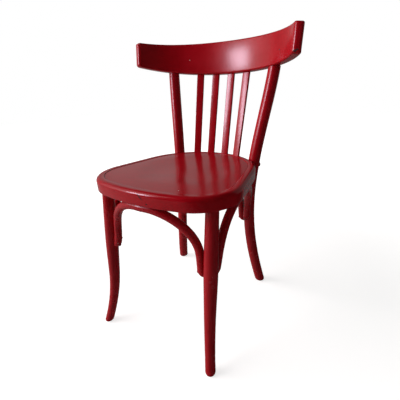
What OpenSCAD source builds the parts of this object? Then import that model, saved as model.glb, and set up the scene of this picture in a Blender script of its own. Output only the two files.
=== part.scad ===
// Bentwood bistro chair: a round-backed plywood seat in a bent ring, two turned front legs,
// two one-piece rear leg posts, a bent crest rail over four flat slats, and four bent arches.
// Millimetres, +Z up, the sitter faces -Y. Left means -X.

/* [Seat] */
// height of the seat's top above the floor
seat_height = 457.5; // [400:0.5:500]
// radius of the seat's round back
seat_back_radius = 179.7; // [165:0.1:195]
// length of each straight side
seat_side_length = 127; // [110:1:145]
// angle of the straight sides to the middle line
seat_side_angle = 9.75; // [7:0.25:12]
// radius of the front corners
seat_corner_radius = 108.5; // [95:0.5:120]
// radius of the bowed front edge
seat_front_radius = 554; // [450:2:700]
// height of the bent ring
ring_height = 34; // [28:0.5:42]
// width of the bent ring, across the grain
ring_width = 44; // [40:1:50]
// radius of the ring's top outer edge
ring_edge_round = 10; // [4:0.5:11]
// width of the ring left to see around the panel
rim_width = 21; // [20.5:0.5:24]
// thickness of the plywood panel
panel_thickness = 5; // [4:0.5:8]
// how far the panel's top lies below the ring's
panel_sink = 1.2; // [0.6:0.1:2]

/* [Front legs] */
// leg radius under the seat
leg_top_radius = 15; // [12:0.1:17]
// leg radius at the thickest place
leg_belly_radius = 17.4; // [15:0.1:18.5]
// leg radius near the floor
leg_foot_radius = 13; // [11:0.1:15]
// how far the foot stands out sideways from the leg's top
leg_spread = 22.9; // [10:0.1:35]
// how far the foot stands forwards of the leg's top
leg_rake = 70.5; // [50:0.5:80]
// extra forward sweep of the lowest part
leg_sweep = 21.3; // [5:0.1:26]
// extra sideways sweep of the lowest part
leg_side_sweep = 16.3; // [5:0.1:26]
// diameter of the round tenon in the ring
leg_tenon = 22; // [16:1:24]

/* [Rear leg posts] */
// post radius from the foot to the seat
post_radius = 16.6; // [14:0.1:19]
// post radius where the seat ring is bolted on
post_joint_radius = 17.6; // [16:0.1:19]
// post radius under the crest rail
post_top_radius = 17; // [14:0.1:18]
// how far the rear foot stands out sideways from the seat joint
post_spread = 33.8; // [20:0.1:50]
// how far the rear foot stands back from the seat joint
post_rake = 23; // [15:0.5:40]
// how far the post's top stands out sideways from the seat joint
post_top_spread = 30.5; // [20:0.1:36]
// how far the post's top leans back from the seat joint
post_top_lean = 42.6; // [25:0.1:50]
// extra sideways bow of the post between its joints
post_bow = 3; // [0:0.1:5]
// diameter of the post's round tenon in the crest rail
post_tenon = 16; // [12:1:17]
// length of that tenon
post_tenon_length = 22; // [16:1:30]

/* [Crest rail] */
// height of the crest rail's lower edge in the middle
crest_bottom_height = 695.5; // [640:0.5:740]
// height of the rail in the middle
crest_height = 88.4; // [75:0.2:100]
// thickness of the rail
crest_thickness = 24.2; // [22:0.2:28]
// half length of the rail, along the bend
crest_half_length = 273; // [255:0.5:285]
// bend of each half if it were even, degrees
crest_bend = 37.5; // [30:0.5:44]
// extra bend gathered towards the ends, degrees
crest_curl = 30; // [15:0.2:35]
// lean of the rail's face, degrees
crest_lean = 7.7; // [3:0.1:14]
// how far the top edge falls at the ends
crest_top_fall = 9.8; // [5:0.2:18]
// how far the lower edge rises at the ends
crest_bottom_rise = 13; // [6:0.2:18]
// rounding of the rail's long edges
crest_edge_round = 5; // [2:0.5:7]

/* [Slats] */
// width of a slat
slat_width = 22.6; // [16:0.1:24]
// thickness of a slat
slat_thickness = 7.9; // [6:0.1:9]
// middle of the inner slats at the crest rail
slat_inner_top = 26.2; // [24:0.1:30]
// middle of the outer slats at the crest rail
slat_outer_top = 78.6; // [70:0.1:84]
// middle of the inner slats at the seat
slat_inner_seat = 25.2; // [22:0.1:28]
// middle of the outer slats at the seat
slat_outer_seat = 71.2; // [64:0.1:78]

/* [Arches] */
// radius of the bent rod
arch_rod = 10.4; // [9:0.1:11.5]
// radius of the front arch's corner bends
front_arch_bend = 121; // [95:1:124]
// radius of the side arches' corner bends
side_arch_bend = 111; // [80:1:118]
// radius of the back arch's corner bends
back_arch_bend = 85; // [65:1:95]
// radius of the arches' flat tops
arch_top_bend = 475; // [300:5:900]
// outward splay of the limbs, degrees
arch_splay = 6.6; // [3:0.1:8]
// how far the limbs reach down from the seat ring
arch_drop = 163.5; // [150:0.5:185]
// length of the rounding at a limb's end
arch_end_round = 20; // [10:1:26]

/* [Fixings] */
// diameter of the screws' shanks
screw_diameter = 4; // [3:0.5:5]
// diameter of the coach bolts
bolt_diameter = 6; // [5:1:8]
// height of the glides under the feet
glide_height = 3; // [2:0.5:5]

/* [Hidden] */

fit = 0.2;
far = 400;
zt = seat_height;
zu = seat_height - ring_height;
panel_top = zt - panel_sink;
rebate_z = panel_top - panel_thickness;
bolt_z = zt - 0.56*ring_height;
sides = 24;
function n2(a) = [cos(a), sin(a)];

// crest rail bend: angle, and the face line as [t, x, forwards], summed in small steps
crest_steps = 48;
crest_ds = crest_half_length/crest_steps;
function crest_angle(t) = crest_bend*t + crest_curl*pow(t, 3);
crest_half = [for (i = 0, x = 0, w = 0; i <= crest_steps;
  x = x + crest_ds*cos(crest_angle((i + 0.5)/crest_steps)),
  w = w + crest_ds*sin(crest_angle((i + 0.5)/crest_steps)), i = i + 1) [i/crest_steps, x, w]];
crest_tx = [for (q = crest_half) [q[0], q[1]]];
crest_tw = [for (q = crest_half) [q[0], q[2]]];
crest_xt = [for (q = crest_half) [q[1] + crest_thickness/2*sin(crest_angle(q[0])), q[0]]];
function crest_x(t) = sign(t)*lookup(abs(t), crest_tx);
function crest_w(t) = lookup(abs(t), crest_tw);
function crest_up_low(t) = crest_bottom_rise*t*t;
function crest_up_high(t) = crest_height - crest_top_fall*t*t;
// a point of the rail in its own leaning frame: t along, b behind the face, u up
function crest_local(t, b, u) = [crest_x(t) + b*sin(crest_angle(t)), b*cos(crest_angle(t)) - crest_w(t), u];
function lean_y(q) = q[1]*cos(crest_lean) + q[2]*sin(crest_lean);
function lean_z(q) = q[2]*cos(crest_lean) - q[1]*sin(crest_lean);

// plan places measured from the centre of the seat's round back
corner_rel = (seat_back_radius - seat_corner_radius)*n2(seat_side_angle)
  + seat_side_length*[sin(seat_side_angle), -cos(seat_side_angle)];
front_swing = acos(corner_rel[0]/(seat_front_radius - seat_corner_radius));
front_rel = [0, corner_rel[1] + (seat_front_radius - seat_corner_radius)*sin(front_swing)];
leg_rel = corner_rel + (seat_corner_radius - ring_width/2)*n2(-40);
post_aim = 45.2;
post_housing = 2.6;
post_rel = (seat_back_radius + post_joint_radius - post_housing)*n2(post_aim);

// the crest rail sits over the posts' tops
post_top_x = post_rel[0] + post_top_spread;
post_t = lookup(post_top_x, crest_xt);
// the posts' tops lie this far behind the middle of the rail's thickness
post_set_back = 9.3;
post_seat = crest_local(post_t, crest_thickness/2, crest_up_low(post_t));
crest_rel_y = post_rel[1] + post_top_lean - post_set_back - lean_y(post_seat);
crest_z = crest_bottom_height;
post_top_z = crest_z + lean_z(post_seat);

// front leg: how far it has swept at a height, and its radius there
foot_round = 6;
foot_levels = [for (a = [0, 0.2, 0.5, 1]) glide_height + a*foot_round];
leg_levels = concat(foot_levels, [22], [for (z = [40:20:180]) z], [210, 240, 276, 310, 340, 370, 400, zu]);
leg_r_table = [[0, leg_foot_radius + 0.3], [10, leg_foot_radius + 0.2], [35, leg_foot_radius],
  [60, leg_foot_radius + 0.3], [100, leg_foot_radius + 0.9], [160, leg_foot_radius + 2.1],
  [200, leg_foot_radius + 3], [240, leg_belly_radius - 0.3], [276, leg_belly_radius],
  [330, leg_belly_radius - 0.6], [zu, leg_top_radius]];
function foot_cut(z) = let (above = glide_height + foot_round - z)
  above > 0 ? foot_round - sqrt(foot_round*foot_round - above*above) : 0;
function leg_r(z) = lookup(z, leg_r_table) - 0.8*foot_cut(z);
sweep_start = 170;
function leg_run(z, reach, sweep) = (reach - sweep)*(zu - z)/zu
  + sweep*pow(max(0, (sweep_start - z)/sweep_start), 2);
function leg_x(z) = leg_xy[0] + leg_run(z, leg_spread, leg_side_sweep);
function leg_y(z) = leg_xy[1] - leg_run(z, leg_rake, leg_sweep);

// the whole chair is moved so that the middle of its depth lies on the origin
front_end = leg_rel[1] - max([for (z = leg_levels) leg_run(z, leg_rake, leg_sweep) + leg_r(z)]);
back_end = crest_rel_y + lean_y([0, crest_thickness - crest_edge_round, crest_height - crest_edge_round])
  + crest_edge_round;
y0 = -(front_end + back_end)/2;
back_c = [0, y0];
corner_c = back_c + corner_rel;
front_c = back_c + front_rel;
leg_xy = back_c + leg_rel;
post_xy = back_c + post_rel;
crest_y = y0 + crest_rel_y;

// a point of the seat's outline at an inset: part 0 back, 1 side, 2 corner, 3 front; k runs 0 to 1
function rim_point(part, k, inset) =
  part == 0 ? back_c + (seat_back_radius - inset)*n2(90 + (seat_side_angle - 90)*k) :
  part == 1 ? back_c + (seat_back_radius - inset)*n2(seat_side_angle)
    + k*seat_side_length*[sin(seat_side_angle), -cos(seat_side_angle)] :
  part == 2 ? corner_c + (seat_corner_radius - inset)*n2(seat_side_angle
    - (seat_side_angle + front_swing)*k) :
  front_c + (seat_front_radius - inset)*n2(-front_swing - (90 - front_swing)*k);
function half_rim(inset) = concat(
  [for (i = [0:20]) rim_point(0, i/20, inset)],
  [for (i = [0:16]) rim_point(2, i/16, inset)],
  [for (i = [1:6]) rim_point(3, i/7, inset)]);
function full_rim(inset) = concat(half_rim(inset), [rim_point(3, 1, inset)],
  [for (i = [len(half_rim(inset)) - 1:-1:1]) [-half_rim(inset)[i][0], half_rim(inset)[i][1]]]);

// rear post: one cubic through four places
post_zs = [0, 0.505*zt, zt, post_top_z];
function cubic(z, a, b, c, d) = let (q = post_zs)
  a*(z - q[1])*(z - q[2])*(z - q[3])/((q[0] - q[1])*(q[0] - q[2])*(q[0] - q[3]))
  + b*(z - q[0])*(z - q[2])*(z - q[3])/((q[1] - q[0])*(q[1] - q[2])*(q[1] - q[3]))
  + c*(z - q[0])*(z - q[1])*(z - q[3])/((q[2] - q[0])*(q[2] - q[1])*(q[2] - q[3]))
  + d*(z - q[0])*(z - q[1])*(z - q[2])/((q[3] - q[0])*(q[3] - q[1])*(q[3] - q[2]));
// the post's line half way up to the seat, beside its seat joint
post_waist = [-2, -13.2];
function bow(z) = -z*(z - post_zs[1])*(z - post_zs[2])*(z - post_zs[3])/pow(post_top_z/3, 4);
function post_x(z) = post_xy[0] + cubic(z, post_spread, post_waist[0], 0, post_top_spread)
  + post_bow*bow(z);
function post_y(z) = post_xy[1] + cubic(z, post_rake, post_waist[1], 0, post_top_lean)
  + 0.7*post_bow*bow(z);
post_r_table = [[0, post_radius], [130, post_radius + 0.3], [zt - 100, post_radius + 0.3],
  [zu, post_joint_radius - 0.2], [zt, post_joint_radius - 0.3], [zt + 60, post_joint_radius - 0.4],
  [post_top_z - 45, post_top_radius], [post_top_z + 30, post_top_radius - 0.6]];
function post_r(z) = lookup(z, post_r_table) - 0.8*foot_cut(z);

function ring_at(x, y, z, r) = [for (i = [0:sides - 1]) concat([x, y] + r*n2(360*i/sides), [z])];
// closes a stack of rings of equal length into one solid, lowest ring first
module skin(rings) {
  n = len(rings[0]);
  m = len(rings);
  polyhedron(
    points = [for (r = rings) for (q = r) q],
    faces = concat(
      [[for (i = [0:n - 1]) i]],
      [for (j = [0:m - 2]) for (i = [0:n - 1]) [j*n + i, (j + 1)*n + i, (j + 1)*n + (i + 1) % n]],
      [for (j = [0:m - 2]) for (i = [0:n - 1]) [j*n + i, (j + 1)*n + (i + 1) % n, j*n + (i + 1) % n]],
      [[for (i = [n - 1:-1:0]) (m - 1)*n + i]]));
}

// the same for rings that follow each other round a closed loop
module loop_skin(rings) {
  n = len(rings[0]);
  m = len(rings);
  polyhedron(
    points = [for (r = rings) for (q = r) q],
    faces = concat(
      [for (j = [0:m - 1]) for (i = [0:n - 1]) [j*n + i, ((j + 1) % m)*n + i, ((j + 1) % m)*n + (i + 1) % n]],
      [for (j = [0:m - 1]) for (i = [0:n - 1]) [j*n + i, ((j + 1) % m)*n + (i + 1) % n, j*n + (i + 1) % n]]));
}

// seat ring: its section as [inset from the outline, height], anticlockwise from the inner lower corner
ring_low_round = 2.5;
ring_section = let (low = ring_low_round, top = ring_edge_round) concat(
  [[ring_width, zu]],
  [for (a = [270:30:360]) [low - low*cos(a), zu + low + low*sin(a)]],
  [for (a = [0:15:90]) [top - top*cos(a), zt - top + top*sin(a)]],
  [[rim_width, zt], [rim_width, rebate_z], [ring_width, rebate_z]]);
module ring_blank() {
  loops = [for (q = ring_section) full_rim(q[0])];
  loop_skin([for (i = [0:len(loops[0]) - 1])
    [for (j = [0:len(loops) - 1]) [loops[j][i][0], loops[j][i][1], ring_section[j][1]]]]);
}
module seat_ring() {
  color("#8f1c22")
    difference() {
      ring_blank();
      both_sides() {
        leg_tenon_rod(fit, 1);
        bolt_rod(fit);
        bolt_pocket();
      }
      for (k = [-2, -1, 1, 2])
        slat_bar(k, fit + 0.05);
      arch_seat_holes(fit);
      brad_rods(fit/2, 1);
    }
}
module both_sides() {
  children();
  mirror([1, 0, 0])
    children();
}

// seat panel, its top edge eased
panel_gap = 0.3;
panel_ease = 1.2;
module seat_panel() {
  color("#8a1b20")
    difference() {
      translate([0, 0, rebate_z])
        union() {
          linear_extrude(panel_thickness - panel_ease*0.6)
            polygon(full_rim(rim_width + panel_gap));
          linear_extrude(panel_thickness)
            polygon(full_rim(rim_width + panel_gap + panel_ease));
        }
      brad_rods(fit/2, 1);
    }
}
// where the brads go: [part, k]
brad_places = [[0, 0.2], [0, 0.55], [0, 0.95], [1, 0.7], [2, 0.35], [2, 0.8], [3, 0.5]];
brad_grip = 8;
brad_head = 1.2;
brad_depth = 0.2;
module brad_rods(gap, over) {
  for (b = brad_places)
    both_sides()
      translate(concat(rim_point(b[0], b[1], rim_width + brad_grip), [0])) {
        translate([0, 0, rebate_z - brad_grip - gap])
          cylinder(r = 0.8 + gap, h = panel_thickness + brad_grip - brad_depth, $fn = 14);
        translate([0, 0, panel_top - brad_depth - brad_head - gap])
          cylinder(r = 1.5 + gap, h = brad_head + gap + over, $fn = 14);
      }
}
module panel_brads() {
  color("#7d181d")
    brad_rods(0, 0);
}

// front legs
module leg_tenon_rod(gap, over) {
  translate([leg_xy[0], leg_xy[1], zu - over])
    cylinder(d = leg_tenon + 2*gap, h = 23 + gap + over, $fn = 40);
}
module front_leg() {
  color("#8f1c22")
    difference() {
      union() {
        skin([for (z = leg_levels) ring_at(leg_x(z), leg_y(z), z, leg_r(z))]);
        leg_tenon_rod(0, 2);
      }
      front_limbs()
        limb_cuts();
      side_limbs()
        limb_cuts();
      glide_pin(leg_x(glide_height), leg_y(glide_height), fit/2);
    }
}
module front_leg_right() {
  front_leg();
}
module front_leg_left() {
  mirror([1, 0, 0])
    front_leg();
}

// rear leg posts
post_levels = concat(foot_levels, [for (z = [30:30:390]) z], [zu, zt],
  [480, 510, 540, 570, 600, 630, 660, 680, 700, post_top_z + post_tenon_length]);
module crest_frame() {
  translate([0, crest_y, crest_z])
    rotate([-crest_lean, 0, 0])
      children();
}
module at_post_top() {
  crest_frame()
    translate(post_seat)
      rotate([0, 0, -crest_angle(post_t)])
        rotate([0, -atan(2*crest_bottom_rise*post_t/crest_half_length), 0])
          children();
}
module bolt_frame() {
  translate([back_c[0], back_c[1], bolt_z])
    rotate([0, 0, post_aim])
      rotate([0, 90, 0])
        children();
}
bolt_head_radius = 6.8;
washer_radius = 8;
bolt_head_r = norm(post_rel) + post_joint_radius - 1.6;
bolt_inner_r = seat_back_radius - ring_width + 0.8;
module bolt_rod(gap) {
  bolt_frame()
    translate([0, 0, bolt_inner_r - 10])
      cylinder(d = bolt_diameter + 2*gap, h = bolt_head_r - bolt_inner_r + 10, $fn = 24);
}
module bolt_pocket() {
  bolt_frame()
    translate([0, 0, bolt_inner_r - 20])
      cylinder(r = washer_radius + 1, h = 20, $fn = 40);
}
module back_post() {
  color("#8f1c22")
    difference() {
      union() {
        difference() {
          skin([for (z = post_levels) ring_at(post_x(z), post_y(z), z, post_r(z))]);
          at_post_top()
            translate([-60, -60, 0])
              cube([120, 120, 90]);
        }
        at_post_top()
          translate([0, 0, -post_tenon/2])
            cylinder(d = post_tenon, h = post_tenon/2 + post_tenon_length, $fn = 32);
      }
      translate([back_c[0], back_c[1], zu - 0.2])
        cylinder(r = seat_back_radius, h = ring_height + 0.4, $fn = 140);
      bolt_rod(fit);
      bolt_frame()
        translate([0, 0, bolt_head_r])
          cylinder(r = bolt_head_radius + 0.4, h = 20, $fn = 32);
      side_limbs()
        limb_cuts();
      back_limbs()
        limb_cuts();
      glide_pin(heel[0], heel[1], fit/2);
    }
}
module back_post_right() {
  back_post();
}
module back_post_left() {
  mirror([1, 0, 0])
    back_post();
}

// crest rail
end_run = 6;
crest_ts = concat([for (k = [0, 0.25, 0.6, 1, 1.6, 2.4, 3.4]) 1 - k*end_run/3.4/crest_half_length],
  [for (i = [1:10]) (1 - end_run/crest_half_length)*(1 - i/10)]);
crest_all = concat([for (t = crest_ts) if (t > 0.001) -t], [0],
  [for (i = [len(crest_ts) - 1:-1:0]) if (crest_ts[i] > 0.001) crest_ts[i]]);
// how much the end's rounding takes off at a distance d from the end, for a radius r
function round_off(d, r) = d >= r ? 0 : r - sqrt(r*r - pow(r - d, 2));
function crest_section(t) = let (
  d = (1 - abs(t))*crest_half_length,
  q = round_off(d, end_run)*0.92,
  e = round_off(d, crest_edge_round)*0.9,
  lo = crest_up_low(t) + q,
  hi = crest_up_high(t) - q,
  r = crest_edge_round - 0.55*e,
  b0 = e,
  b1 = crest_thickness - e)
  concat(
    [for (a = [180:22.5:270]) crest_local(t, b0 + r + r*cos(a), lo + r + r*sin(a))],
    [for (a = [270:22.5:360]) crest_local(t, b1 - r + r*cos(a), lo + r + r*sin(a))],
    [for (a = [0:22.5:90]) crest_local(t, b1 - r + r*cos(a), hi - r + r*sin(a))],
    [for (a = [90:22.5:180]) crest_local(t, b0 + r + r*cos(a), hi - r + r*sin(a))]);
module crest_rail() {
  color("#8f1c22")
    difference() {
      crest_frame()
        skin([for (t = crest_all) crest_section(t)]);
      both_sides()
        at_post_top()
          translate([0, 0, -post_tenon_length])
            cylinder(d = post_tenon + 2*fit, h = 2*post_tenon_length + fit, $fn = 32);
      for (k = [-2, -1, 1, 2])
        slat_bar(k, fit + 0.05);
    }
}

// slats: k is -2, -1, 1 or 2 from left to right
function slat_top_x(k) = sign(k)*(abs(k) == 1 ? slat_inner_top : slat_outer_top);
function slat_seat_x(k) = sign(k)*(abs(k) == 1 ? slat_inner_seat : slat_outer_seat);
function unit(v) = v/norm(v);
// the inner slats stand a little further into the seat than the outer ones
function slat_inset(k) = abs(k) == 1 ? 15.5 : 13.2;
module slat_bar(k, gap) {
  xs = slat_seat_x(k);
  foot = [xs, back_c[1] + sqrt(pow(seat_back_radius - slat_inset(k), 2) - xs*xs), zt];
  t = sign(k)*lookup(abs(slat_top_x(k)), crest_xt);
  q = crest_local(t, crest_thickness/2, crest_up_low(t));
  head = [q[0], crest_y + lean_y(q), crest_z + lean_z(q)];
  turn = (crest_angle(t) + asin(xs/seat_back_radius))/2;
  ez = unit(head - foot);
  ey = unit(cross(ez, [cos(turn), -sin(turn), 0]));
  ex = cross(ey, ez);
  w = slat_width/2 + gap;
  h = slat_thickness/2 + gap;
  r = 1.6;
  multmatrix([[ex[0], ey[0], ez[0], foot[0]], [ex[1], ey[1], ez[1], foot[1]],
      [ex[2], ey[2], ez[2], foot[2]], [0, 0, 0, 1]])
    translate([0, 0, -15 - gap])
      linear_extrude(norm(head - foot) + 30 + 2*gap)
        union() {
          square([2*w, 2*(h - r)], center = true);
          square([2*(w - r), 2*h], center = true);
          for (i = [-1, 1])
            for (j = [-1, 1])
              translate([i*(w - r), j*(h - r)])
                circle(r = r, $fn = 16);
        }
}
module slat_outer_left() {
  color("#8f1c22")
    slat_bar(-2, 0);
}
module slat_inner_left() {
  color("#8f1c22")
    slat_bar(-1, 0);
}
module slat_inner_right() {
  color("#8f1c22")
    slat_bar(1, 0);
}
module slat_outer_right() {
  color("#8f1c22")
    slat_bar(2, 0);
}

// arches, each drawn about its own middle: x along, z up from the ring's underside, and -y to its
// outer side. Half of an arch is [flare, short]: flare says how far the middle of the top, the corner
// and the limb's low end lie outwards, and short how much less than arch_drop the limb reaches down.
arch_low_z = zu - arch_drop;
arch_top = 1 - arch_rod;
limb_flat = 2.6;
leg_flat = 1;
tip = 8;
front_half = [[29.5, -8.2, 2], 0];
back_half = [[28, 2, -5], 0];
side_rear_half = [[25.2, 0.4, -5], 11];
side_front_half = [[25.2, 11.1, 1], -3.8];
rod_sides = 16;
bend_steps = 12;
splay_out = [cos(arch_splay), 0, sin(arch_splay)];
function bend_fit(span, bend) = min(bend, 0.92*span);
function arch_alpha(span, bend) = asin((span - bend*cos(arch_splay)
  - (arch_top - arch_top_bend + bend*sin(arch_splay) + arch_drop)*tan(arch_splay))
  *cos(arch_splay)/(arch_top_bend - bend)) - arch_splay;
function arch_centre(bend, al) = [(arch_top_bend - bend)*sin(al),
  arch_top - arch_top_bend + (arch_top_bend - bend)*cos(al)];
function arch_corner(bend, al) = arch_centre(bend, al) + bend*[cos(arch_splay), sin(arch_splay)];
// a point of a limb, up its length from where it reaches arch_drop
function limb_point(span, corner, flare, up) = [span - up*sin(arch_splay),
  -(flare[2] + (flare[1] - flare[2])*up*cos(arch_splay)/(corner[1] + arch_drop)),
  up*cos(arch_splay) - arch_drop];
// a point of the bend and the top, from its place in the arch's plane
function top_point(q, corner, flare) = [q[0],
  -(flare[0] + (flare[1] - flare[0])*pow(min(1, q[0]/corner[0]), 2)), q[1]];
// distances from a limb's very end at which its rounded end has rings
end_steps = [for (a = [0:15:90]) arch_end_round*(1 - cos(a))];
function end_taken(d) = (arch_rod - 1.6)*(1 - sqrt(1 - pow((arch_end_round - d)/arch_end_round, 2)));
// half of an arch's middle line as [point, spoke, radius, shift along the spoke]
function half_line(span, bend, half) = let (
  al = arch_alpha(span, bend),
  centre = arch_centre(bend, al),
  corner = arch_corner(bend, al),
  swept = 90 - arch_splay - al,
  top_at = 90 - al/2)
  concat(
    [for (d = end_steps) [limb_point(span, corner, half[0], half[1] + d - tip), splay_out,
      arch_rod - end_taken(d), end_taken(d)]],
    [for (i = [0:bend_steps]) let (t = arch_splay + swept*i/bend_steps)
      [top_point(centre + bend*n2(t), corner, half[0]), [cos(t), 0, sin(t)], arch_rod, 0]],
    [[top_point([0, arch_top - arch_top_bend] + arch_top_bend*n2(top_at), corner, half[0]),
      [cos(top_at), 0, sin(top_at)], arch_rod, 0]]);
function mirrored_step(q) = [[-q[0][0], q[0][1], q[0][2]], [-q[1][0], 0, q[1][2]], q[2], q[3]];
function rod_ring(before, q, after) = let (
  t = unit(after[0] - before[0]),
  n = unit(q[1] - (q[1]*t)*t),
  side = cross(t, n))
  [for (i = [0:rod_sides - 1]) let (a = 360*i/rod_sides)
    q[0] + q[3]*n + q[2]*(cos(a)*n + sin(a)*side)];
module arch_body(span, reach, half_a, half_b) {
  bend = bend_fit(span, reach);
  a_line = half_line(span, bend, half_a);
  b_line = half_line(span, bend, half_b);
  middle = [[0, -half_a[0][0], arch_top], [0, 0, 1], arch_rod, 0];
  line = concat(a_line, [middle], [for (i = [len(b_line) - 1:-1:0]) mirrored_step(b_line[i])]);
  last = len(line) - 1;
  skin([for (i = [0:last]) rod_ring(line[max(0, i - 1)], line[i], line[min(last, i + 1)])]);
}
// a frame near the end of the right limb, +Z up the limb, +X outwards to the leg
module limb_frame(span, reach, half) {
  bend = bend_fit(span, reach);
  corner = arch_corner(bend, arch_alpha(span, bend));
  low = limb_point(span, corner, half[0], half[1]);
  ez = unit(limb_point(span, corner, half[0], half[1] + 10) - low);
  ey = cross(ez, splay_out);
  multmatrix([[splay_out[0], ey[0], ez[0], low[0]], [splay_out[1], ey[1], ez[1], low[1]],
      [splay_out[2], ey[2], ez[2], low[2]], [0, 0, 0, 1]])
    children();
}
module limb_flat_box() {
  translate([arch_rod - limb_flat, -far/2, -40])
    cube([60, far, 180]);
}
screw_up = 4;
spot = 1.6;
head_radius = 4;
driver_room = 12;
screw_bite = 11;
module screw_rod(gap) {
  translate([-arch_rod + spot, 0, screw_up])
    rotate([0, 90, 0])
      cylinder(d = screw_diameter + 2*gap, h = 2*arch_rod - limb_flat - spot + screw_bite, $fn = 20);
}
module screw_head(gap) {
  translate([-arch_rod + spot, 0, screw_up])
    rotate([0, -90, 0])
      cylinder(r = head_radius + gap, h = driver_room, $fn = 28);
}
module screw() {
  screw_rod(0);
  translate([-arch_rod + spot, 0, screw_up])
    intersection() {
      scale([0.62, 1, 1])
        sphere(r = head_radius, $fn = 28);
      translate([-2, -1, -1]*head_radius)
        cube([2, 2, 2]*head_radius);
    }
}
bite = limb_flat + leg_flat;
front_span = leg_x(arch_low_z) - leg_r(arch_low_z) - arch_rod + bite;
back_span = post_x(arch_low_z) - post_r(arch_low_z) - arch_rod + bite;
side_a = [leg_x(arch_low_z), leg_y(arch_low_z)];
side_b = [post_x(arch_low_z), post_y(arch_low_z)];
side_ab = side_b - side_a;
side_u = unit(side_ab);
side_out = [side_u[1], -side_u[0]];
side_span = norm(side_ab)/2 - (leg_r(arch_low_z) + post_r(arch_low_z))/2 - arch_rod + bite;
side_mid = (side_a + side_b)/2 + side_u*((leg_r(arch_low_z) - post_r(arch_low_z))/2 + 0.8);
module place_front_arch() {
  translate([0, side_a[1], zu])
    children();
}
module place_back_arch() {
  translate([0, side_b[1], zu])
    mirror([0, 1, 0])
      children();
}
module place_side_arch() {
  translate([side_mid[0], side_mid[1], zu])
    rotate([0, 0, atan2(side_u[1], side_u[0])])
      children();
}
// the same thing at both limbs of an arch
module front_limbs() {
  place_front_arch()
    both_sides()
      limb_frame(front_span, front_arch_bend, front_half)
        children();
}
module back_limbs() {
  place_back_arch()
    both_sides()
      limb_frame(back_span, back_arch_bend, back_half)
        children();
}
module side_limbs() {
  place_side_arch() {
    limb_frame(side_span, side_arch_bend, side_rear_half)
      children();
    mirror([1, 0, 0])
      limb_frame(side_span, side_arch_bend, side_front_half)
        children();
  }
}
// what a limb takes out of its leg: a shallow flat seat and the screw's hole
module limb_cuts() {
  translate([arch_rod - limb_flat - 40, -arch_rod - 0.6, -tip - 0.3])
    cube([40, 2*arch_rod + 1.2, 118]);
  screw_rod(fit);
}
module limb_trim() {
  limb_flat_box();
  screw_rod(fit);
  screw_head(0.6);
}
top_screw_low = zu - 2*arch_rod + 1 + spot;
module top_screw_rod(gap) {
  cylinder(d = screw_diameter + 2*gap, h = 2*arch_rod - 1 - spot + 0.47*ring_height, $fn = 20);
}
side_top = side_mid + side_rear_half[0][0]*side_out;
function mirrored(q) = [-q[0], q[1]];
top_places = [[0, side_a[1] - front_half[0][0]], [0, side_b[1] + back_half[0][0]], side_top,
  mirrored(side_top)];
module arch_seat_holes(gap) {
  for (q = top_places)
    translate([q[0], q[1], top_screw_low])
      top_screw_rod(gap);
}
module top_trim() {
  translate([-far, -far, zu])
    cube([2*far, 2*far, 60]);
  for (q = top_places)
    translate([q[0], q[1], top_screw_low]) {
      top_screw_rod(fit);
      translate([0, 0, -driver_room])
        cylinder(r = head_radius + 0.6, h = driver_room, $fn = 28);
    }
}
module front_arch() {
  color("#8f1c22")
    difference() {
      place_front_arch()
        arch_body(front_span, front_arch_bend, front_half, front_half);
      front_limbs()
        limb_trim();
      top_trim();
    }
}
module back_arch() {
  color("#8f1c22")
    difference() {
      place_back_arch()
        arch_body(back_span, back_arch_bend, back_half, back_half);
      back_limbs()
        limb_trim();
      top_trim();
    }
}
module right_arch() {
  color("#8f1c22")
    difference() {
      place_side_arch()
        arch_body(side_span, side_arch_bend, side_rear_half, side_front_half);
      side_limbs()
        limb_trim();
      top_trim();
    }
}
module left_arch() {
  mirror([1, 0, 0])
    right_arch();
}

// fixings
module arch_leg_screws() {
  color("#8a1b20") {
    front_limbs()
      screw();
    back_limbs()
      screw();
    both_sides()
      side_limbs()
        screw();
  }
}
module arch_seat_screws() {
  color("#8a1b20")
    for (q = top_places)
      translate([q[0], q[1], top_screw_low]) {
        top_screw_rod(0);
        intersection() {
          scale([1, 1, 0.62])
            sphere(r = head_radius, $fn = 28);
          translate([-1, -1, -1]*head_radius)
            cube([2, 2, 1]*head_radius);
        }
      }
}
washer_height = 1.5;
nut_height = 5;
bolt_end_r = bolt_inner_r - washer_height - nut_height - 2;
module post_bolts() {
  color("#8a1b20")
    both_sides()
      bolt_frame() {
        translate([0, 0, bolt_end_r])
          cylinder(d = bolt_diameter, h = bolt_head_r - bolt_end_r, $fn = 24);
        translate([0, 0, bolt_head_r])
          intersection() {
            scale([1, 1, 0.55])
                sphere(r = bolt_head_radius, $fn = 32);
            translate([-1, -1, 0]*bolt_head_radius)
              cube([2, 2, 1]*bolt_head_radius);
          }
      }
}
module bolt_washers() {
  color("#9a9a98")
    both_sides()
      bolt_frame()
        translate([0, 0, bolt_inner_r - washer_height])
          difference() {
            cylinder(r = washer_radius, h = washer_height, $fn = 36);
            translate([0, 0, -1])
              cylinder(d = bolt_diameter + 0.4, h = washer_height + 2, $fn = 24);
          }
}
module bolt_nuts() {
  color("#9a9a98")
    both_sides()
      bolt_frame()
        translate([0, 0, bolt_inner_r - washer_height - nut_height])
          difference() {
            cylinder(d = 11.5, h = nut_height, $fn = 6);
            translate([0, 0, -1])
              cylinder(d = bolt_diameter + 0.1, h = nut_height + 2, $fn = 24);
          }
}
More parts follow.
